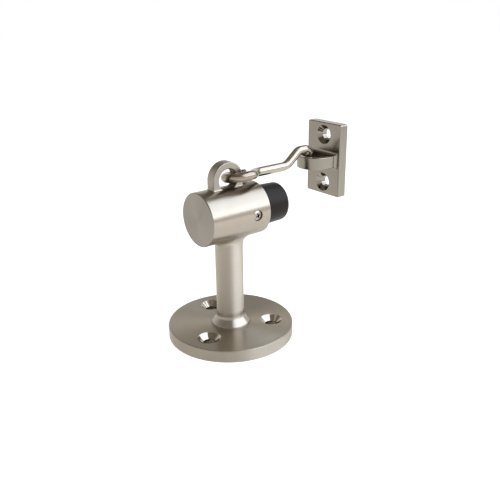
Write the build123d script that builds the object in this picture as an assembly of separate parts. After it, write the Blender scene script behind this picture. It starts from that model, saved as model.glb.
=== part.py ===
from build123d import *
from math import atan2, cos, degrees, radians, sin, sqrt
import os

# Floor door stop with a hook and a keeper, in millimetres, +Z up.
# The origin is the centre of the base plate's underside.
# The barrel lies along X, with its rubber bumper at the +X end.

# Base plate
base_diameter = 66.7
base_thickness = 6.35
base_edge_round = 0.6
fixing_hole_count = 3
fixing_circle_diameter = 43.8
fixing_bore = 6.8
fixing_sink_diameter = 12.2
fixing_first_angle = 83.4

# Stand: foot, post, barrel and eye lug in one casting
foot_diameter = 20.6
foot_rim_height = 0.5
foot_rim_round = 0.3
foot_flare_height = 3.6
foot_flare_blend = 3.0
post_diameter = 14.5
neck_fillet = 5.0
barrel_diameter = 27.5
barrel_height = 67.3
barrel_back = 18.4
barrel_front = 17.1
barrel_edge_chamfer = 0.35
lug_centre_x = -1.2
lug_rise = 17.9
lug_outer_radius = 9.0
lug_wall = 3.5
lug_thickness = 5.8
lug_edge_round = 0.6
lug_foot_fillet = 1.0

# Machine screw that holds the stand to the base plate from below
base_screw_diameter = 6.0
base_screw_head_diameter = 11.4
base_screw_engagement = 9.5
base_screw_tip_gap = 2.0
base_screw_tip_chamfer = 1.0
driver_socket_width = 4.0
driver_socket_depth = 2.0

# Rubber bumper and the screw that keeps it in its socket
bumper_root_diameter = 21.4
bumper_nose_diameter = 20.4
bumper_projection = 15.8
bumper_nose_round = 1.8
bumper_stem_diameter = 18.0
bumper_stem_length = 12.5
socket_end_gap = 0.5
bumper_screw_setback = 8.3
bumper_screw_diameter = 3.0
bumper_screw_bite = 5.0
bumper_pilot_gap = 0.3
bumper_screw_head_diameter = 5.0
bumper_screw_head_height = 1.5
bumper_screw_dome = 0.6
bumper_screw_sink = 1.6
cross_slot_length = 2.6
cross_slot_width = 0.75
cross_slot_depth = 0.9
cross_slot_turn = 20.0

# Hook, bent from round rod
rod_diameter = 4.8
eye_centre_radius = 7.2
eye_end_angle = 30.0
neck_bend_radius = 9.0
eye_twist = 11.0
ramp_start_x = 38.8
ramp_run = 8.4
hook_rise = 7.0
ramp_bend_radius = 8.0
crest_bend_radius = 4.2
tip_bend_radius = 3.6
tip_x = 55.3
tip_length = 8.9
tip_edge_round = 0.9

# Keeper: door plate and tongue in one casting
plate_width = 25.0
plate_height = 40.0
plate_thickness = 5.2
plate_corner_round = 1.0
plate_edge_round = 0.6
keeper_hole_spacing = 26.6
keeper_bore = 6.0
keeper_sink_diameter = 10.4
tongue_length = 16.1
tongue_width = 20.0
tongue_thickness = 6.6
tongue_wall = 2.3
tongue_root_web = 1.7
tongue_root_fillet = 1.6
tongue_edge_round = 0.45
tongue_drop = 0.1

# Clearances
thread_clearance = 0.03
stem_clearance = 0.1
screw_head_clearance = 0.3
screw_bore_clearance = 0.2
tip_clearance = 0.8

# Overlap of joined or cut bodies, and the margin for picking edges by place
overlap = 1.0
edge_margin = 0.5

# Places that several pieces share
lug_hole_radius = lug_outer_radius - lug_wall
eye_axis_height = barrel_height + lug_rise
eye_centre_x = lug_centre_x + lug_outer_radius
socket_radius = bumper_stem_diameter / 2 + stem_clearance
socket_depth = bumper_stem_length + socket_end_gap
bumper_screw_x = barrel_front - bumper_screw_setback
bumper_screw_seat = barrel_diameter / 2 - bumper_screw_sink


def countersunk_hole(bore, sink, depth):
    """Cutter with a 90 degree sink that opens at z = 0 and points down."""
    sink_depth = (sink - bore) / 2
    cone = Pos(0, 0, -sink_depth / 2) * Cone(bore / 2, sink / 2, sink_depth)
    return cone + Pos(0, 0, -depth / 2) * Cylinder(bore / 2, depth)


def base_plate():
    """Turned disc with three countersunk fixing holes and one for the post's screw."""
    disc = Pos(0, 0, base_thickness / 2) * Cylinder(base_diameter / 2, base_thickness)
    top_edge = disc.edges().filter_by(GeomType.CIRCLE).sort_by(Axis.Z)[-1]
    disc = fillet(top_edge, base_edge_round)
    fixing = countersunk_hole(fixing_bore, fixing_sink_diameter, base_thickness)
    for place in range(fixing_hole_count):
        turn = fixing_first_angle + place * 360 / fixing_hole_count
        disc -= Rot(0, 0, turn) * Pos(fixing_circle_diameter / 2, 0, base_thickness) * fixing
    screw_bore = base_screw_diameter + 2 * screw_bore_clearance
    screw_sink = base_screw_head_diameter + 2 * screw_head_clearance
    return disc - Rot(180, 0, 0) * countersunk_hole(screw_bore, screw_sink, base_thickness)


def base_screw():
    """Flat-headed machine screw, driven up through the plate into the post."""
    head_radius = base_screw_head_diameter / 2
    shank_radius = base_screw_diameter / 2
    recess = screw_head_clearance - screw_bore_clearance
    head_height = head_radius - shank_radius
    length = base_thickness + base_screw_engagement
    outline = Polyline(
        (0, recess),
        (head_radius, recess),
        (shank_radius, recess + head_height),
        (shank_radius, length - base_screw_tip_chamfer),
        (shank_radius - base_screw_tip_chamfer, length),
        (0, length),
        close=True,
    )
    screw = revolve(Plane.XZ * make_face(outline), Axis.Z)
    socket = extrude(RegularPolygon(driver_socket_width / 2, 6, major_radius=False), driver_socket_depth)
    return screw - Pos(0, 0, recess) * socket


def post_and_foot():
    """Round post whose conical foot stands on a thin rim on the base plate."""
    post_radius = post_diameter / 2
    foot_radius = foot_diameter / 2
    rim_top = base_thickness + foot_rim_height
    flare_top = rim_top + foot_flare_height
    outline = Polyline(
        (0, base_thickness),
        (foot_radius, base_thickness),
        (foot_radius, rim_top),
        (post_radius, flare_top),
        (post_radius, barrel_height),
        (0, barrel_height),
        close=True,
    )
    post = revolve(Plane.XZ * make_face(outline), Axis.Z)
    circles = post.edges().filter_by(GeomType.CIRCLE)
    post = fillet(circles.filter_by_position(Axis.Z, rim_top, rim_top), foot_rim_round)
    circles = post.edges().filter_by(GeomType.CIRCLE)
    return fillet(circles.filter_by_position(Axis.Z, flare_top, flare_top), foot_flare_blend)


def eye_lug():
    """Upright slab with a round top, standing on the barrel's crown."""
    body = Pos(0, eye_axis_height) * Circle(lug_outer_radius)
    body += Pos(0, (eye_axis_height + barrel_height) / 2) * Rectangle(2 * lug_outer_radius, lug_rise)
    slab = extrude(Plane.XZ * body, lug_thickness / 2, both=True)
    rims = slab.edges().filter_by(GeomType.CIRCLE) + slab.edges().filter_by(Axis.Z)
    return Pos(lug_centre_x, 0, 0) * fillet(rims, lug_edge_round)


def lug_hole(barrel):
    """Round hole with rounded rims, which stops at the barrel's crown."""
    half = lug_thickness / 2
    reach = lug_outer_radius
    rim_radius = lug_hole_radius + lug_edge_round
    wall = Line((lug_hole_radius, 0), (lug_hole_radius, half - lug_edge_round))
    rim = RadiusArc(wall @ 1, (rim_radius, half), lug_edge_round)
    rest = Polyline(rim @ 1, (rim_radius, reach), (0, reach), (0, 0), wall @ 0)
    side = revolve(Plane.XY * make_face([wall, rim, rest]), Axis.Y)
    cutter = side + mirror(side, about=Plane.XZ)
    return Pos(lug_centre_x, 0, eye_axis_height) * cutter - barrel


def stand():
    """Post, barrel and lug, with the bumper's socket and the screw holes."""
    barrel_length = barrel_back + barrel_front
    barrel_middle = (barrel_front - barrel_back) / 2
    barrel = Pos(barrel_middle, 0, barrel_height) * Rot(0, 90, 0) * Cylinder(barrel_diameter / 2, barrel_length)
    barrel = chamfer(barrel.edges().filter_by(GeomType.CIRCLE), barrel_edge_chamfer)
    body = post_and_foot() + barrel
    neck = body.edges().filter_by(
        lambda e: e.geom_type not in (GeomType.CIRCLE, GeomType.LINE)
        and e.bounding_box().size.X < post_diameter + edge_margin
        and foot_diameter < e.center().Z < barrel_height
    )
    body = fillet(neck, neck_fillet)
    body += eye_lug()
    crown = barrel_height + barrel_diameter / 2
    lug_foot = body.edges().filter_by(
        lambda e: e.bounding_box().min.Z > crown - edge_margin
        and e.bounding_box().max.Z < crown + edge_margin
        and abs(e.center().X - lug_centre_x) < lug_outer_radius + edge_margin
        and abs(e.center().Y) < lug_thickness / 2 + edge_margin
    )
    body = fillet(lug_foot, lug_foot_fillet) - lug_hole(barrel)
    socket = Rot(0, 90, 0) * Cylinder(socket_radius, socket_depth)
    body -= Pos(barrel_front - socket_depth / 2, 0, barrel_height) * socket
    thread_depth = base_screw_engagement + base_screw_tip_gap
    thread = Cylinder(base_screw_diameter / 2 + thread_clearance, thread_depth)
    body -= Pos(0, 0, base_thickness + thread_depth / 2) * thread
    return body - bumper_screw_holes()


def bumper_screw_holes():
    """Counterbore and clearance hole through the near wall of the barrel."""
    seat_depth = bumper_screw_sink + overlap
    wall = bumper_screw_seat - socket_radius + overlap
    head = Cylinder(bumper_screw_head_diameter / 2 + screw_head_clearance, seat_depth)
    shank = Cylinder(bumper_screw_diameter / 2 + screw_bore_clearance, wall)
    cutter = Pos(0, 0, bumper_screw_seat + seat_depth / 2) * head
    cutter += Pos(0, 0, bumper_screw_seat - wall / 2) * shank
    return Pos(bumper_screw_x, 0, barrel_height) * Rot(90, 0, 0) * cutter


def bumper_screw():
    """Domed screw with a crossed recess, driven sideways into the rubber stem."""
    head_radius = bumper_screw_head_diameter / 2
    shank_radius = bumper_screw_diameter / 2
    rim = bumper_screw_seat + bumper_screw_head_height - bumper_screw_dome
    tip = bumper_stem_diameter / 2 - bumper_screw_bite
    side = Polyline(
        (0, tip),
        (shank_radius, tip + shank_radius),
        (shank_radius, bumper_screw_seat),
        (head_radius, bumper_screw_seat),
        (head_radius, rim),
    )
    top = rim + bumper_screw_dome
    dome = TangentArc((0, top), (head_radius, rim), tangent=(1, 0))
    axis_line = Line((0, top), (0, tip))
    screw = revolve(Plane.XZ * make_face([side, dome, axis_line]), Axis.Z)
    slot = Box(cross_slot_length, cross_slot_width, 2 * cross_slot_depth)
    cross = slot + Rot(0, 0, 90) * slot
    screw -= Pos(0, 0, top) * Rot(0, 0, cross_slot_turn) * cross
    return Pos(bumper_screw_x, 0, barrel_height) * Rot(90, 0, 0) * screw


def rubber_bumper():
    """Moulded bumper: tapered head outside the barrel and a stem in its socket."""
    root_radius = bumper_root_diameter / 2
    nose_radius = bumper_nose_diameter / 2
    stem_radius = bumper_stem_diameter / 2
    outline = Polyline(
        (0, -bumper_stem_length),
        (stem_radius, -bumper_stem_length),
        (stem_radius, 0),
        (root_radius, 0),
        (nose_radius, bumper_projection),
        (0, bumper_projection),
        close=True,
    )
    bumper = revolve(Plane.XZ * make_face(outline), Axis.Z)
    nose_edge = bumper.edges().filter_by(GeomType.CIRCLE).sort_by(Axis.Z)[-1]
    bumper = fillet(nose_edge, bumper_nose_round)
    bumper = Pos(barrel_front, 0, barrel_height) * Rot(0, 90, 0) * bumper
    pilot_radius = bumper_screw_diameter / 2 + thread_clearance
    pilot_depth = bumper_screw_bite + bumper_pilot_gap - pilot_radius
    pilot = Pos(0, 0, stem_radius) * Cylinder(pilot_radius, 2 * pilot_depth)
    point = Pos(0, 0, stem_radius - pilot_depth - pilot_radius / 2) * Cone(0, pilot_radius, pilot_radius)
    return bumper - Pos(bumper_screw_x, 0, barrel_height) * Rot(90, 0, 0) * (pilot + point)


def hook_path():
    """Centreline of the rod: round the eye, along the shank and over to the tip."""
    bend_reach = sqrt((eye_centre_radius + neck_bend_radius) ** 2 - neck_bend_radius**2)
    neck_x = eye_centre_x + bend_reach
    meet_angle = degrees(atan2(neck_bend_radius, bend_reach))
    crest = eye_axis_height + hook_rise

    def eye_point(angle):
        x = eye_centre_x + eye_centre_radius * cos(radians(angle))
        return Vector(x, eye_centre_radius * sin(radians(angle)), eye_axis_height)

    def neck_point(angle):
        x = neck_x + neck_bend_radius * cos(radians(angle))
        return Vector(x, neck_bend_radius * (sin(radians(angle)) - 1), eye_axis_height)

    eye = ThreePointArc(eye_point(eye_end_angle), eye_point(180), eye_point(-meet_angle))
    neck = ThreePointArc(neck_point(180 - meet_angle), neck_point(135 - meet_angle / 2), neck_point(90))
    shank_line = Axis((0, 0, eye_axis_height), (1, 0, 0))
    eye = eye.rotate(shank_line, -eye_twist)
    neck = neck.rotate(shank_line, -eye_twist)
    shank = FilletPolyline(
        (neck_x, 0, eye_axis_height),
        (ramp_start_x, 0, eye_axis_height),
        (ramp_start_x + ramp_run, 0, crest),
        (tip_x, 0, crest),
        (tip_x, 0, crest - tip_length),
        radius=(ramp_bend_radius, crest_bend_radius, tip_bend_radius),
    )
    return Wire([eye, neck] + shank.edges())


def hook():
    """Round rod with a bent eye round the lug and a bent-over tip."""
    path = hook_path()
    section = Plane(origin=path @ 0, z_dir=path % 0) * Circle(rod_diameter / 2)
    rod = sweep(section, path)
    tip_edge = rod.edges().filter_by(GeomType.CIRCLE).sort_by(Axis.Z)[0]
    return fillet(tip_edge, tip_edge_round)


def keeper():
    """Door plate with a D-shaped tongue that the hook drops into."""
    tongue_height = eye_axis_height - tongue_drop
    nose_x = tip_x - rod_diameter / 2 - tip_clearance - tongue_wall
    face_x = nose_x + tongue_length

    plate = Pos(plate_thickness / 2, 0, 0) * Box(plate_thickness, plate_width, plate_height)
    plate = fillet(plate.edges().filter_by(Axis.X), plate_corner_round)
    front = plate.faces().sort_by(Axis.X)[0]
    plate = fillet(front.edges(), plate_edge_round)

    half_width = tongue_width / 2
    straight = tongue_length - half_width
    outline = Pos(-straight, 0) * Circle(half_width)
    outline += Pos((overlap - straight) / 2, 0) * Rectangle(straight + overlap, tongue_width)
    tongue = extrude(outline, tongue_thickness / 2, both=True)
    body = plate + tongue
    root = body.edges().filter_by(
        lambda e: abs(e.center().X) < edge_margin
        and abs(e.center().Z) < tongue_thickness / 2 + edge_margin
        and abs(e.center().Y) < half_width + edge_margin
    )
    body = fillet(root, tongue_root_fillet)
    rims = body.edges().filter_by(
        lambda e: e.center().X < -tongue_root_fillet - edge_margin
        and abs(abs(e.center().Z) - tongue_thickness / 2) < edge_margin
        and e.bounding_box().size.Z < edge_margin
    )
    body = fillet(rims, tongue_edge_round)

    inner = half_width - tongue_wall
    inner_straight = straight - tongue_root_web
    opening = Pos(-straight, 0) * Circle(inner)
    opening += Pos(-straight + inner_straight / 2, 0) * Rectangle(inner_straight, 2 * inner)
    opening &= Pos(-tongue_root_web - tongue_length / 2, 0) * Rectangle(tongue_length, tongue_width)
    body -= extrude(opening, tongue_thickness, both=True)

    fixing = Rot(0, -90, 0) * countersunk_hole(keeper_bore, keeper_sink_diameter, plate_thickness)
    for height in (-keeper_hole_spacing / 2, keeper_hole_spacing / 2):
        body -= Pos(0, 0, height) * fixing
    return Pos(face_x, 0, tongue_height) * body


pieces = {
    "base_plate": base_plate(),
    "base_screw": base_screw(),
    "stand": stand(),
    "rubber_bumper": rubber_bumper(),
    "bumper_screw": bumper_screw(),
    "hook": hook(),
    "keeper": keeper(),
}

os.makedirs("parts", exist_ok=True)
for name, piece in pieces.items():
    export_step(piece, f"parts/{name}.step")
    box = piece.bounding_box()
    print(name, [round(v, 2) for v in box.min], [round(v, 2) for v in box.max], round(piece.volume, 1))
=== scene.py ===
import math

import bpy
from mathutils import Matrix, Vector


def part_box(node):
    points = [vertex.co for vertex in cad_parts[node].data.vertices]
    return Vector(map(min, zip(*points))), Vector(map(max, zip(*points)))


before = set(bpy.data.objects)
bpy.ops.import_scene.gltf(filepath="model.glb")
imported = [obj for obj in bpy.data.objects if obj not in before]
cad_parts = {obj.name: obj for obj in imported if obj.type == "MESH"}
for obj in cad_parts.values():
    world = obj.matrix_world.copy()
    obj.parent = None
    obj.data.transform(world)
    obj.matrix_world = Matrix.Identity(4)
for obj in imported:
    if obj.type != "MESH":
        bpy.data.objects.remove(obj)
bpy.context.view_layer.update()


# Base plate: a turned brass disc, nickel plated and left satin, with fine turning marks
# round its axis. Three countersunk screws hold it to the floor.
def new_group(name, inputs, outputs):
    """Empty shader group with the named sockets, and its two end nodes."""
    group = bpy.data.node_groups.new(name, "ShaderNodeTree")
    for label, kind, value in inputs:
        socket = group.interface.new_socket(label, in_out="INPUT", socket_type=kind)
        socket.default_value = value
    for label, kind in outputs:
        group.interface.new_socket(label, in_out="OUTPUT", socket_type=kind)
    return group, group.nodes.new("NodeGroupInput"), group.nodes.new("NodeGroupOutput")


def turned_marks():
    """Fine rings round one axis of the piece, as a height and a roughness."""
    group, ends_in, ends_out = new_group(
        "turned_marks",
        [
            ("Axis", "NodeSocketVector", (0, 0, 1)),
            ("Centre", "NodeSocketVector", (0, 0, 0)),
            ("Rings per Metre", "NodeSocketFloat", 2600.0),
            ("Smooth Roughness", "NodeSocketFloat", 0.22),
            ("Rough Roughness", "NodeSocketFloat", 0.30),
        ],
        [("Height", "NodeSocketFloat"), ("Roughness", "NodeSocketFloat")],
    )
    nodes, links = group.nodes, group.links
    place = nodes.new("ShaderNodeTexCoord")
    offset = nodes.new("ShaderNodeVectorMath")
    offset.operation = "SUBTRACT"
    links.new(place.outputs["Object"], offset.inputs[0])
    links.new(ends_in.outputs["Centre"], offset.inputs[1])
    along = nodes.new("ShaderNodeVectorMath")
    along.operation = "DOT_PRODUCT"
    links.new(offset.outputs[0], along.inputs[0])
    links.new(ends_in.outputs["Axis"], along.inputs[1])
    on_axis = nodes.new("ShaderNodeVectorMath")
    on_axis.operation = "SCALE"
    links.new(ends_in.outputs["Axis"], on_axis.inputs[0])
    links.new(along.outputs["Value"], on_axis.inputs["Scale"])
    outwards = nodes.new("ShaderNodeVectorMath")
    outwards.operation = "SUBTRACT"
    links.new(offset.outputs[0], outwards.inputs[0])
    links.new(on_axis.outputs[0], outwards.inputs[1])
    radius = nodes.new("ShaderNodeVectorMath")
    radius.operation = "LENGTH"
    links.new(outwards.outputs[0], radius.inputs[0])
    direction = nodes.new("ShaderNodeVectorMath")
    direction.operation = "NORMALIZE"
    links.new(outwards.outputs[0], direction.inputs[0])
    ring = nodes.new("ShaderNodeMath")
    ring.operation = "ADD"
    links.new(radius.outputs["Value"], ring.inputs[0])
    links.new(along.outputs["Value"], ring.inputs[1])
    ring_step = nodes.new("ShaderNodeMath")
    ring_step.operation = "MULTIPLY"
    links.new(ring.outputs[0], ring_step.inputs[0])
    links.new(ends_in.outputs["Rings per Metre"], ring_step.inputs[1])
    lines = nodes.new("ShaderNodeTexNoise")
    lines.noise_dimensions = "4D"
    lines.inputs["Scale"].default_value = 1.6
    lines.inputs["Detail"].default_value = 3.0
    links.new(direction.outputs[0], lines.inputs["Vector"])
    links.new(ring_step.outputs[0], lines.inputs["W"])
    cloud = nodes.new("ShaderNodeTexNoise")
    cloud.inputs["Scale"].default_value = 90.0
    cloud.inputs["Detail"].default_value = 4.0
    links.new(place.outputs["Object"], cloud.inputs["Vector"])
    blend = nodes.new("ShaderNodeMath")
    blend.operation = "MULTIPLY"
    links.new(lines.outputs["Fac"], blend.inputs[0])
    links.new(cloud.outputs["Fac"], blend.inputs[1])
    spread = nodes.new("ShaderNodeMapRange")
    spread.inputs["From Min"].default_value = 0.12
    spread.inputs["From Max"].default_value = 0.40
    links.new(blend.outputs[0], spread.inputs["Value"])
    links.new(ends_in.outputs["Smooth Roughness"], spread.inputs["To Min"])
    links.new(ends_in.outputs["Rough Roughness"], spread.inputs["To Max"])
    links.new(lines.outputs["Fac"], ends_out.inputs["Height"])
    links.new(spread.outputs["Result"], ends_out.inputs["Roughness"])
    return group


def plate_tint():
    """Nickel colour with faint warmer clouds, where the plate is thinner, and fine streaks."""
    group, ends_in, ends_out = new_group(
        "plate_tint",
        [
            ("Nickel", "NodeSocketColor", (0.40, 0.36, 0.30, 1)),
            ("Warm Nickel", "NodeSocketColor", (0.38, 0.33, 0.265, 1)),
            ("Cloud Scale", "NodeSocketFloat", 60.0),
            ("Streaks", "NodeSocketFloat", 0.5),
        ],
        [("Color", "NodeSocketColor")],
    )
    nodes, links = group.nodes, group.links
    place = nodes.new("ShaderNodeTexCoord")
    cloud = nodes.new("ShaderNodeTexNoise")
    cloud.inputs["Detail"].default_value = 5.0
    links.new(place.outputs["Object"], cloud.inputs["Vector"])
    links.new(ends_in.outputs["Cloud Scale"], cloud.inputs["Scale"])
    mix = nodes.new("ShaderNodeMix")
    mix.data_type = "RGBA"
    links.new(cloud.outputs["Fac"], mix.inputs["Factor"])
    links.new(ends_in.outputs["Nickel"], mix.inputs["A"])
    links.new(ends_in.outputs["Warm Nickel"], mix.inputs["B"])
    streak_level = nodes.new("ShaderNodeMapRange")
    streak_level.inputs["From Min"].default_value = 0.3
    streak_level.inputs["From Max"].default_value = 0.7
    streak_level.inputs["To Min"].default_value = 0.97
    streak_level.inputs["To Max"].default_value = 1.03
    links.new(ends_in.outputs["Streaks"], streak_level.inputs["Value"])
    streaked = nodes.new("ShaderNodeVectorMath")
    streaked.operation = "SCALE"
    links.new(mix.outputs["Result"], streaked.inputs[0])
    links.new(streak_level.outputs["Result"], streaked.inputs["Scale"])
    links.new(streaked.outputs[0], ends_out.inputs["Color"])
    return group


def new_material(name):
    """Material with one Principled shader."""
    material = bpy.data.materials.new(name)
    material.use_nodes = True
    return material, material.node_tree.nodes["Principled BSDF"]


def place_group(material, group, **values):
    """Puts a shader group into a material and sets its named inputs."""
    node = material.node_tree.nodes.new("ShaderNodeGroup")
    node.node_tree = group
    for label, value in values.items():
        node.inputs[label.replace("_", " ")].default_value = value
    return node


def round_axis(material, axis, centre):
    """Vector that runs round an axis of the piece, as long as the distance from that axis."""
    tree = material.node_tree
    place = tree.nodes.new("ShaderNodeTexCoord")
    offset = tree.nodes.new("ShaderNodeVectorMath")
    offset.operation = "SUBTRACT"
    offset.inputs[1].default_value = centre
    tree.links.new(place.outputs["Object"], offset.inputs[0])
    across = tree.nodes.new("ShaderNodeVectorMath")
    across.operation = "CROSS_PRODUCT"
    across.inputs[0].default_value = axis
    tree.links.new(offset.outputs[0], across.inputs[1])
    return across.outputs[0]


def ring_direction(material, axis, centre):
    """Direction of the turning marks round an axis, for the shader's Tangent."""
    tree = material.node_tree
    direction = tree.nodes.new("ShaderNodeVectorMath")
    direction.operation = "NORMALIZE"
    tree.links.new(round_axis(material, axis, centre), direction.inputs[0])
    to_world = tree.nodes.new("ShaderNodeVectorTransform")
    to_world.vector_type = "VECTOR"
    to_world.convert_from = "OBJECT"
    to_world.convert_to = "WORLD"
    tree.links.new(direction.outputs[0], to_world.inputs["Vector"])
    return to_world.outputs["Vector"]


def satin_nickel(name, axis, centre, tint_values, mark_values, relief, spread):
    """Satin nickel plate over turning marks round one axis, which spread light across them."""
    material, shader = new_material(name)
    links = material.node_tree.links
    mark_depth = 0.00002
    across_rings = 0.25
    shader.inputs["Metallic"].default_value = 1.0
    colour = place_group(material, nickel_tint, **tint_values)
    links.new(colour.outputs["Color"], shader.inputs["Base Color"])
    marks = place_group(material, marks_group, Axis=axis, Centre=centre, **mark_values)
    links.new(marks.outputs["Height"], colour.inputs["Streaks"])
    links.new(marks.outputs["Roughness"], shader.inputs["Roughness"])
    bump = material.node_tree.nodes.new("ShaderNodeBump")
    bump.inputs["Strength"].default_value = relief
    bump.inputs["Distance"].default_value = mark_depth
    links.new(marks.outputs["Height"], bump.inputs["Height"])
    links.new(bump.outputs["Normal"], shader.inputs["Normal"])
    shader.inputs["Anisotropic"].default_value = spread
    shader.inputs["Anisotropic Rotation"].default_value = across_rings
    if spread > 0:
        links.new(ring_direction(material, axis, centre), shader.inputs["Tangent"])
    return material


def dress(node, material):
    """Gives a CAD node its one material."""
    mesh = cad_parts[node].data
    mesh.materials.clear()
    mesh.materials.append(material)


def near_axis(material, axis, centre, radius):
    """Mask that is 1 within a radius of one axis of the piece."""
    tree = material.node_tree
    distance = tree.nodes.new("ShaderNodeVectorMath")
    distance.operation = "LENGTH"
    tree.links.new(round_axis(material, axis, centre), distance.inputs[0])
    inside = tree.nodes.new("ShaderNodeMath")
    inside.operation = "LESS_THAN"
    inside.inputs[1].default_value = radius
    tree.links.new(distance.outputs["Value"], inside.inputs[0])
    return inside.outputs[0]


def blend_in(material, kind, mask, socket, new):
    """Fades what feeds a shader socket into something new where the mask is 1."""
    tree = material.node_tree
    mix = tree.nodes.new("ShaderNodeMix")
    mix.data_type = kind
    tree.links.new(mask, mix.inputs["Factor"])
    tree.links.new(socket.links[0].from_socket, mix.inputs["A"])
    if isinstance(new, tuple):
        mix.inputs["B"].default_value = new
    else:
        tree.links.new(new, mix.inputs["B"])
    tree.links.new(mix.outputs["Result"], socket)


def bore_sinks(material, axis, centres, radius):
    """Makes the countersinks smoother than the face, with their own rings round each hole."""
    shader = material.node_tree.nodes["Principled BSDF"]
    for centre in centres:
        in_hole = near_axis(material, axis, centre, radius)
        rings = place_group(
            material, marks_group, Axis=axis, Centre=centre, Smooth_Roughness=0.08, Rough_Roughness=0.15
        )
        blend_in(material, "FLOAT", in_hole, shader.inputs["Roughness"], rings.outputs["Roughness"])
        direction = ring_direction(material, axis, centre)
        blend_in(material, "VECTOR", in_hole, shader.inputs["Tangent"], direction)


marks_group = turned_marks()
nickel_tint = plate_tint()
disc_rings = 520.0
disc_nickel = satin_nickel(
    "satin_nickel_disc",
    axis=(0, 0, 1),
    centre=(0, 0, 0),
    tint_values={
        "Nickel": (0.44, 0.40, 0.33, 1),
        "Warm_Nickel": (0.415, 0.365, 0.295, 1),
        "Cloud_Scale": 40.0,
    },
    mark_values={"Rings_per_Metre": disc_rings, "Smooth_Roughness": 0.31, "Rough_Roughness": 0.36},
    relief=0.03,
    spread=0.92,
)
plate_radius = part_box("base_plate")[1].x
rim_depth = 0.0004
disc_shader = disc_nickel.node_tree.nodes["Principled BSDF"]
face_roughness = disc_shader.inputs["Roughness"].links[0].from_socket
rim_marks = place_group(
    disc_nickel, marks_group, Rings_per_Metre=disc_rings, Smooth_Roughness=0.50, Rough_Roughness=0.56
)
on_face = near_axis(disc_nickel, (0, 0, 1), (0, 0, 0), plate_radius - rim_depth)
disc_nickel.node_tree.links.new(rim_marks.outputs["Roughness"], disc_shader.inputs["Roughness"])
blend_in(disc_nickel, "FLOAT", on_face, disc_shader.inputs["Roughness"], face_roughness)
floor_screws = 3
first_hole_turn = 83.4
hole_circle_radius = 0.0219
countersink_radius = 0.0058
hole_centres = []
for hole in range(floor_screws):
    turn = math.radians(first_hole_turn + 360 / floor_screws * hole)
    hole_centres.append((hole_circle_radius * math.cos(turn), hole_circle_radius * math.sin(turn), 0))
bore_sinks(disc_nickel, axis=(0, 0, 1), centres=hole_centres, radius=countersink_radius)
dress("base_plate", disc_nickel)


# Base screw: a flat-headed steel machine screw, zinc plated. It comes up through the
# base plate from below and pulls the post down on it.
def zinc_steel():
    """Zinc plate with small crystal patches."""
    material, shader = new_material("zinc_steel")
    tree = material.node_tree
    shader.inputs["Metallic"].default_value = 1.0
    place = tree.nodes.new("ShaderNodeTexCoord")
    crystals = tree.nodes.new("ShaderNodeTexVoronoi")
    crystals.inputs["Scale"].default_value = 1400.0
    tree.links.new(place.outputs["Object"], crystals.inputs["Vector"])
    tint = tree.nodes.new("ShaderNodeMix")
    tint.data_type = "RGBA"
    tint.inputs["A"].default_value = (0.52, 0.53, 0.55, 1)
    tint.inputs["B"].default_value = (0.62, 0.63, 0.66, 1)
    tree.links.new(crystals.outputs["Distance"], tint.inputs["Factor"])
    tree.links.new(tint.outputs["Result"], shader.inputs["Base Color"])
    rough = tree.nodes.new("ShaderNodeMapRange")
    rough.inputs["To Min"].default_value = 0.3
    rough.inputs["To Max"].default_value = 0.45
    tree.links.new(crystals.outputs["Distance"], rough.inputs["Value"])
    tree.links.new(rough.outputs["Result"], shader.inputs["Roughness"])
    return material


dress("base_screw", zinc_steel())


# Stand: one brass casting with the flared foot, the post, the barrel across it and the
# eye lug. It is turned, polished and nickel plated, and left satin.
def between(material, letter, low, high):
    """Mask that rises from 0 to 1 between two places along one axis of the piece."""
    tree = material.node_tree
    place = tree.nodes.new("ShaderNodeTexCoord")
    parts = tree.nodes.new("ShaderNodeSeparateXYZ")
    tree.links.new(place.outputs["Object"], parts.inputs["Vector"])
    rise = tree.nodes.new("ShaderNodeMapRange")
    rise.inputs["From Min"].default_value = low
    rise.inputs["From Max"].default_value = high
    tree.links.new(parts.outputs[letter], rise.inputs["Value"])
    return rise.outputs["Result"]


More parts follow.
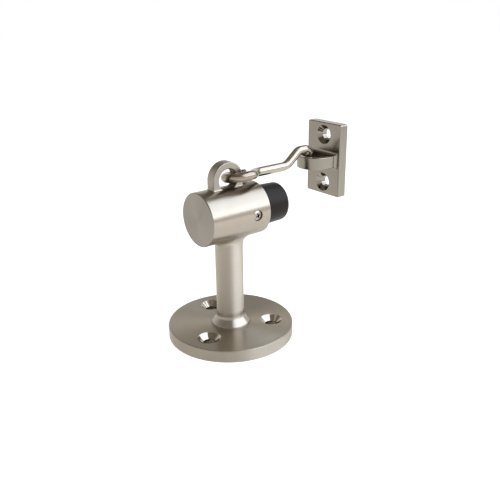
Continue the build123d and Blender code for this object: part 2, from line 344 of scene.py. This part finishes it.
def stand_nickel():
    """Satin nickel with rings round the barrel's axis above and the post's axis below, a lighter nickel on
    the post as painted light, and a darker one on the plain end and the lug as painted shade.
    """
    stand_low, stand_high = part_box("stand")
    bumper_low, bumper_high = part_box("rubber_bumper")
    barrel_axis_height = (bumper_low.z + bumper_high.z) / 2
    barrel_top = barrel_axis_height + stand_high.y
    post_height = 0.047
    post_top = stand_low.z + post_height
    post_fade = 0.002
    foot_height = 0.0075
    foot_top = stand_low.z + foot_height
    foot_fade = 0.001
    plain_end_from = stand_low.x + 0.0006
    plain_end_at = stand_low.x + 0.0002
    lug_from = barrel_top + 0.0003
    lug_at = barrel_top + 0.0012
    foot_nickel = (0.42, 0.38, 0.32, 1)
    # Painted shade: the plain end face gets a darker nickel than the barrel.
    plain_end_painted_shade = (0.28, 0.25, 0.21, 1)
    # Painted shade: the lug above the barrel gets a darker nickel than the barrel.
    lug_painted_shade = (0.32, 0.285, 0.24, 1)
    stand_rings = 600.0
    material = satin_nickel(
        "satin_nickel_stand",
        axis=(1, 0, 0),
        centre=(0, 0, barrel_axis_height),
        tint_values={"Cloud_Scale": 55.0},
        mark_values={"Rings_per_Metre": stand_rings, "Smooth_Roughness": 0.29, "Rough_Roughness": 0.35},
        relief=0.05,
        spread=0.88,
    )
    tree = material.node_tree
    shader = tree.nodes["Principled BSDF"]
    colour = shader.inputs["Base Color"]
    roughness = shader.inputs["Roughness"]
    bump = next(node for node in tree.nodes if node.type == "BUMP")
    upright = {"Axis": (0, 0, 1), "Rings_per_Metre": stand_rings}
    marks = place_group(material, marks_group, **upright, Smooth_Roughness=0.52, Rough_Roughness=0.58)
    foot_marks = place_group(material, marks_group, **upright, Smooth_Roughness=0.28, Rough_Roughness=0.33)
    # Painted light: the post gets a lighter nickel than the barrel, so that it looks brighter.
    tint = place_group(
        material, nickel_tint, Nickel=(0.54, 0.49, 0.415, 1), Warm_Nickel=(0.52, 0.46, 0.375, 1)
    )
    tree.links.new(marks.outputs["Height"], tint.inputs["Streaks"])
    on_post = between(material, "Z", post_top + post_fade, post_top - post_fade)
    on_foot = between(material, "Z", foot_top + foot_fade, foot_top - foot_fade)
    on_plain_end = between(material, "X", plain_end_from, plain_end_at)
    on_lug = between(material, "Z", lug_from, lug_at)
    blend_in(material, "FLOAT", on_post, bump.inputs["Height"], marks.outputs["Height"])
    round_post = ring_direction(material, (0, 0, 1), (0, 0, 0))
    blend_in(material, "VECTOR", on_post, shader.inputs["Tangent"], round_post)
    blend_in(material, "FLOAT", on_post, roughness, marks.outputs["Roughness"])
    blend_in(material, "FLOAT", on_foot, roughness, foot_marks.outputs["Roughness"])
    blend_in(material, "RGBA", on_post, colour, tint.outputs["Color"])
    blend_in(material, "RGBA", on_foot, colour, foot_nickel)
    blend_in(material, "RGBA", on_plain_end, colour, plain_end_painted_shade)
    blend_in(material, "RGBA", on_lug, colour, lug_painted_shade)
    return material


dress("stand", stand_nickel())


# Rubber bumper: a black moulded rubber plug, pressed into the barrel's front end.
# Its face takes the blow of the door.
def black_rubber():
    """Matte moulded rubber with a fine skin and a little dust bloom."""
    material, shader = new_material("black_rubber")
    tree = material.node_tree
    skin_depth = 0.00003
    shader.inputs["Specular IOR Level"].default_value = 0.24
    shader.inputs["Specular Tint"].default_value = (0.85, 0.75, 0.65, 1)
    place = tree.nodes.new("ShaderNodeTexCoord")
    skin = tree.nodes.new("ShaderNodeTexNoise")
    skin.inputs["Scale"].default_value = 2200.0
    skin.inputs["Detail"].default_value = 3.0
    tree.links.new(place.outputs["Object"], skin.inputs["Vector"])
    bloom = tree.nodes.new("ShaderNodeTexNoise")
    bloom.inputs["Scale"].default_value = 110.0
    bloom.inputs["Detail"].default_value = 5.0
    tree.links.new(place.outputs["Object"], bloom.inputs["Vector"])
    tint = tree.nodes.new("ShaderNodeMix")
    tint.data_type = "RGBA"
    tint.inputs["A"].default_value = (0.0025, 0.0023, 0.0021, 1)
    tint.inputs["B"].default_value = (0.0055, 0.0050, 0.0046, 1)
    tree.links.new(bloom.outputs["Fac"], tint.inputs["Factor"])
    tree.links.new(tint.outputs["Result"], shader.inputs["Base Color"])
    rough = tree.nodes.new("ShaderNodeMapRange")
    rough.inputs["To Min"].default_value = 0.38
    rough.inputs["To Max"].default_value = 0.46
    tree.links.new(bloom.outputs["Fac"], rough.inputs["Value"])
    tree.links.new(rough.outputs["Result"], shader.inputs["Roughness"])
    bump = tree.nodes.new("ShaderNodeBump")
    bump.inputs["Strength"].default_value = 0.3
    bump.inputs["Distance"].default_value = skin_depth
    tree.links.new(skin.outputs["Fac"], bump.inputs["Height"])
    tree.links.new(bump.outputs["Normal"], shader.inputs["Normal"])
    return material


dress("rubber_bumper", black_rubber())


# Bumper screw: a small nickel-plated steel screw with a crossed recess. It goes through
# the barrel's wall into the rubber, so that the bumper can't be pulled out.
def product(material, first, second):
    """One mask times another."""
    node = material.node_tree.nodes.new("ShaderNodeMath")
    node.operation = "MULTIPLY"
    material.node_tree.links.new(first, node.inputs[0])
    material.node_tree.links.new(second, node.inputs[1])
    return node.outputs[0]


def crossed_screw_nickel():
    """Nickel plate with painted shade in the depth of the crossed recess."""
    head_top, screw_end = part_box("bumper_screw")
    middle = (head_top + screw_end) / 2
    recess_radius = 0.0017
    recess_dark_from = head_top.y + 0.00025
    recess_dark_at = head_top.y + 0.0005
    recess_painted_shade = (0.05, 0.045, 0.04, 1)
    material = satin_nickel(
        "bright_nickel_screw",
        axis=(0, 1, 0),
        centre=middle,
        tint_values={
            "Nickel": (0.40, 0.36, 0.31, 1),
            "Warm_Nickel": (0.34, 0.30, 0.25, 1),
            "Cloud_Scale": 300.0,
        },
        mark_values={"Rings_per_Metre": 7000.0, "Smooth_Roughness": 0.20, "Rough_Roughness": 0.30},
        relief=0.05,
        spread=0.0,
    )
    near = near_axis(material, (0, 1, 0), middle, recess_radius)
    deep = between(material, "Y", recess_dark_from, recess_dark_at)
    in_recess = product(material, near, deep)
    shader = material.node_tree.nodes["Principled BSDF"]
    # Painted shade: the deep part of the crossed recess is coloured dark.
    blend_in(material, "RGBA", in_recess, shader.inputs["Base Color"], recess_painted_shade)
    return material


dress("bumper_screw", crossed_screw_nickel())


# Hook: brass rod, bent cold into an eye that is linked round the lug, and into a crest
# and a tip at the other end. It is nickel plated, and the eye is darker as painted shade where it sits in
# the lug.
hook_low, hook_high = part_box("hook")
eye_dark_to = hook_low.x + 0.013
shank_from = hook_low.x + 0.021
eye_painted_shade = (0.30, 0.255, 0.20, 1)
hook_nickel = satin_nickel(
    "satin_nickel_rod",
    axis=(1, 0, 0),
    centre=(0, 0, (hook_low.z + hook_high.z) / 2),
    tint_values={"Cloud_Scale": 120.0},
    mark_values={"Rings_per_Metre": 1200.0, "Smooth_Roughness": 0.20, "Rough_Roughness": 0.27},
    relief=0.05,
    spread=0.0,
)
# Painted shade: the eye, where it sits in the lug's hole, gets a darker nickel.
blend_in(
    hook_nickel,
    "RGBA",
    between(hook_nickel, "X", shank_from, eye_dark_to),
    hook_nickel.node_tree.nodes["Principled BSDF"].inputs["Base Color"],
    eye_painted_shade,
)
dress("hook", hook_nickel)


# Keeper: a cast brass plate with a D-shaped tongue, nickel plated and left satin. Two
# countersunk screws hold it to the door, and the hook's tip drops into the tongue.
keeper_low, keeper_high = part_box("keeper")
keeper_middle = (keeper_low.z + keeper_high.z) / 2
keeper_hole_rise = 0.0133
keeper_sink_radius = 0.0052
keeper_nickel = satin_nickel(
    "satin_nickel_keeper",
    axis=(1, 0, 0),
    centre=(0, 0, keeper_middle),
    tint_values={
        "Nickel": (0.27, 0.245, 0.205, 1),
        "Warm_Nickel": (0.26, 0.23, 0.185, 1),
        "Cloud_Scale": 70.0,
    },
    mark_values={"Rings_per_Metre": 900.0, "Smooth_Roughness": 0.23, "Rough_Roughness": 0.26},
    relief=0.02,
    spread=0.2,
)
bore_sinks(
    keeper_nickel,
    axis=(1, 0, 0),
    centres=[(0, 0, keeper_middle + rise) for rise in (keeper_hole_rise, -keeper_hole_rise)],
    radius=keeper_sink_radius,
)
tongue_outer_radius = 0.010
inside_radius = 0.009
inside_half_height = 0.0029
inside_fade = 0.0003
# Painted shade: the inside of the tongue's opening is coloured dark, where little light reaches.
tongue_painted_shade = (0.17, 0.145, 0.11, 1)
tongue_centre = (keeper_low.x + tongue_outer_radius, 0, 0)
inside_tongue = near_axis(keeper_nickel, (0, 0, 1), tongue_centre, inside_radius)
for side in (-1, 1):
    edge = keeper_middle + side * inside_half_height
    within = between(keeper_nickel, "Z", edge + side * inside_fade, edge)
    inside_tongue = product(keeper_nickel, inside_tongue, within)
keeper_colour = keeper_nickel.node_tree.nodes["Principled BSDF"].inputs["Base Color"]
blend_in(keeper_nickel, "RGBA", inside_tongue, keeper_colour, tongue_painted_shade)
# Painted shade: the keeper's top edge is made a little darker.
top_edge_from = keeper_high.z - 0.0004
top_edge_at = keeper_high.z - 0.0001
top_edge_painted_shade = (0.27, 0.24, 0.19, 1)
top_edge = between(keeper_nickel, "Z", top_edge_from, top_edge_at)
blend_in(keeper_nickel, "RGBA", top_edge, keeper_colour, top_edge_painted_shade)
dress("keeper", keeper_nickel)


# Floor: a wide pale sheet that the stop stands on. Camera, glossy and transmission rays
# get the same white from it. It keeps the soft shadow, and doesn't glow under the plate.
def seen_directly(tree):
    """1 for camera, glossy and transmission rays, and 0 for the rest."""
    path = tree.nodes.new("ShaderNodeLightPath")
    seen = path.outputs["Is Camera Ray"]
    for kind in ("Is Glossy Ray", "Is Transmission Ray"):
        either = tree.nodes.new("ShaderNodeMath")
        either.operation = "MAXIMUM"
        tree.links.new(seen, either.inputs[0])
        tree.links.new(path.outputs[kind], either.inputs[1])
        seen = either.outputs[0]
    return seen


floor_half = 3.0
floor_glow_seen = 0.85
plate_shadow_radius = plate_radius * 0.93
floor_corners = [(x * floor_half, y * floor_half, 0) for x, y in ((-1, -1), (1, -1), (1, 1), (-1, 1))]
floor_mesh = bpy.data.meshes.new("floor")
floor_mesh.from_pydata(floor_corners, [], [(0, 1, 2, 3)])
floor = bpy.data.objects.new("floor", floor_mesh)
bpy.context.scene.collection.objects.link(floor)
floor_material, floor_shader = new_material("pale_floor")
floor_tree = floor_material.node_tree
floor_shader.inputs["Base Color"].default_value = (0.5, 0.49, 0.475, 1)
floor_shader.inputs["Roughness"].default_value = 0.9
floor_shader.inputs["Specular IOR Level"].default_value = 0.0
floor_shader.inputs["Emission Strength"].default_value = floor_glow_seen
floor_place = floor_tree.nodes.new("ShaderNodeTexCoord")
distance = floor_tree.nodes.new("ShaderNodeVectorMath")
distance.operation = "LENGTH"
floor_tree.links.new(floor_place.outputs["Object"], distance.inputs[0])
outside_plate = floor_tree.nodes.new("ShaderNodeMapRange")
outside_plate.inputs["From Min"].default_value = plate_shadow_radius
outside_plate.inputs["From Max"].default_value = plate_radius
floor_tree.links.new(distance.outputs["Value"], outside_plate.inputs["Value"])
open_glow = product(floor_material, seen_directly(floor_tree), outside_plate.outputs["Result"])
floor_tree.links.new(open_glow, floor_shader.inputs["Emission Color"])
floor_mesh.materials.append(floor_material)


# Studio: one wide soft lamp at the front right, and a room with a white surround below a
# dim warm ceiling. Every kind of ray sees the same room.
def soft_lamp(name, azimuth, height, distance, width, tall, radiance):
    """Rectangular lamp at that direction from the object, facing it."""
    object_middle = Vector((0.015, 0, 0.05))
    turn = math.radians(azimuth)
    rise = math.radians(height)
    level = math.cos(rise)
    towards = Vector((math.cos(turn) * level, math.sin(turn) * level, math.sin(rise)))
    lamp = bpy.data.lights.new(name, "AREA")
    lamp.shape = "RECTANGLE"
    lamp.size = width
    lamp.size_y = tall
    lamp.energy = radiance * math.pi * width * tall
    lamp.color = (0.90, 1.0, 1.19)
    holder = bpy.data.objects.new(name, lamp)
    holder.location = object_middle + towards * distance
    holder.rotation_euler = towards.to_track_quat("Z", "Y").to_euler()
    holder.visible_camera = False
    bpy.context.scene.collection.objects.link(holder)


soft_lamp(
    "front_right_softbox", azimuth=-51, height=40, distance=0.50, width=0.84, tall=0.56, radiance=2.65
)


def ramp(tree, source, stops):
    """Colour ramp with these colours at these positions."""
    node = tree.nodes.new("ShaderNodeValToRGB")
    elements = node.color_ramp.elements
    while len(elements) < len(stops):
        elements.new(0.5)
    for element, (position, colour) in zip(elements, stops):
        element.position = position
        element.color = colour
    tree.links.new(source, node.inputs["Fac"])
    return node.outputs["Color"]


world = bpy.data.worlds.new("studio_room")
bpy.context.scene.world = world
world.use_nodes = True
room = world.node_tree
background = room.nodes["Background"]
direction = room.nodes.new("ShaderNodeTexCoord")
split = room.nodes.new("ShaderNodeSeparateXYZ")
room.links.new(direction.outputs["Generated"], split.inputs["Vector"])
room_by_height = [
    (0.00, (1.00, 1.00, 1.00, 1)),
    (0.36, (1.00, 1.00, 1.00, 1)),
    (0.50, (0.42, 0.40, 0.35, 1)),
    (0.66, (0.20, 0.18, 0.145, 1)),
    (0.85, (0.24, 0.215, 0.18, 1)),
    (1.00, (0.50, 0.48, 0.44, 1)),
]
room.links.new(ramp(room, split.outputs["Z"], room_by_height), background.inputs["Color"])


# Camera: a normal lens near the object, above it on the barrel's plain-end side. Its
# place and turns are fitted to the photograph.
camera_data = bpy.data.cameras.new("camera")
camera_data.sensor_width = 36.0
camera_data.lens = 46.08
camera = bpy.data.objects.new("camera", camera_data)
camera_place = Vector((-0.180177, -0.250988, 0.168625))
camera_turn = math.radians(-37.698)
camera_tilt = math.radians(68.482)
camera_roll = math.radians(-0.744)
camera.matrix_world = (
    Matrix.Translation(camera_place)
    @ Matrix.Rotation(camera_turn, 4, "Z")
    @ Matrix.Rotation(camera_tilt, 4, "X")
    @ Matrix.Rotation(camera_roll, 4, "Z")
)
bpy.context.scene.collection.objects.link(camera)
bpy.context.scene.camera = camera
bpy.context.scene.view_settings.view_transform = "Standard"
